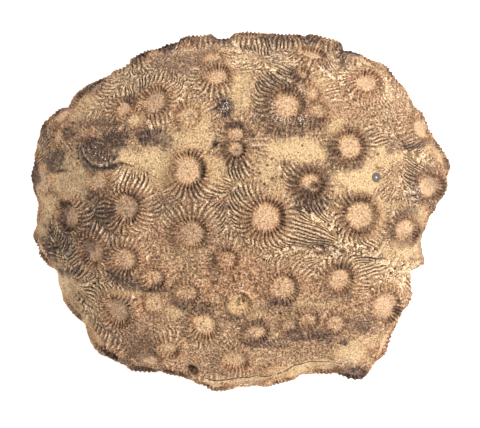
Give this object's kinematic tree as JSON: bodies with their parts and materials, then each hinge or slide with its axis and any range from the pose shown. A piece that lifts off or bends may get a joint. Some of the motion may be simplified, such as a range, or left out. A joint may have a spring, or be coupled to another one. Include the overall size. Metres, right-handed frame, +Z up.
{
  "type": "fossil coral head",
  "caption": "Domed lump of fossil coral in tan limestone, covered in round toothed cups on low ribbed mounds, cut flat underneath to rest on a surface.",
  "frame": {"origin": "centre of the bounding box on the flat cut that the head rests on", "axes": "+Z up out of the flat cut through the dome, +X along the head's longest side, +Y towards the steep back edge"},
  "size_m": [0.1514, 0.1302, 0.0666],
  "materials": {
    "limestone": "weathered fossil limestone, pale tan cup floors and silt, brown and purple-brown stain in the grooves, dry and unpolished"
  },
  "bodies": {
    "root": {"coral_head": "limestone"}
  },
  "joints": []
}
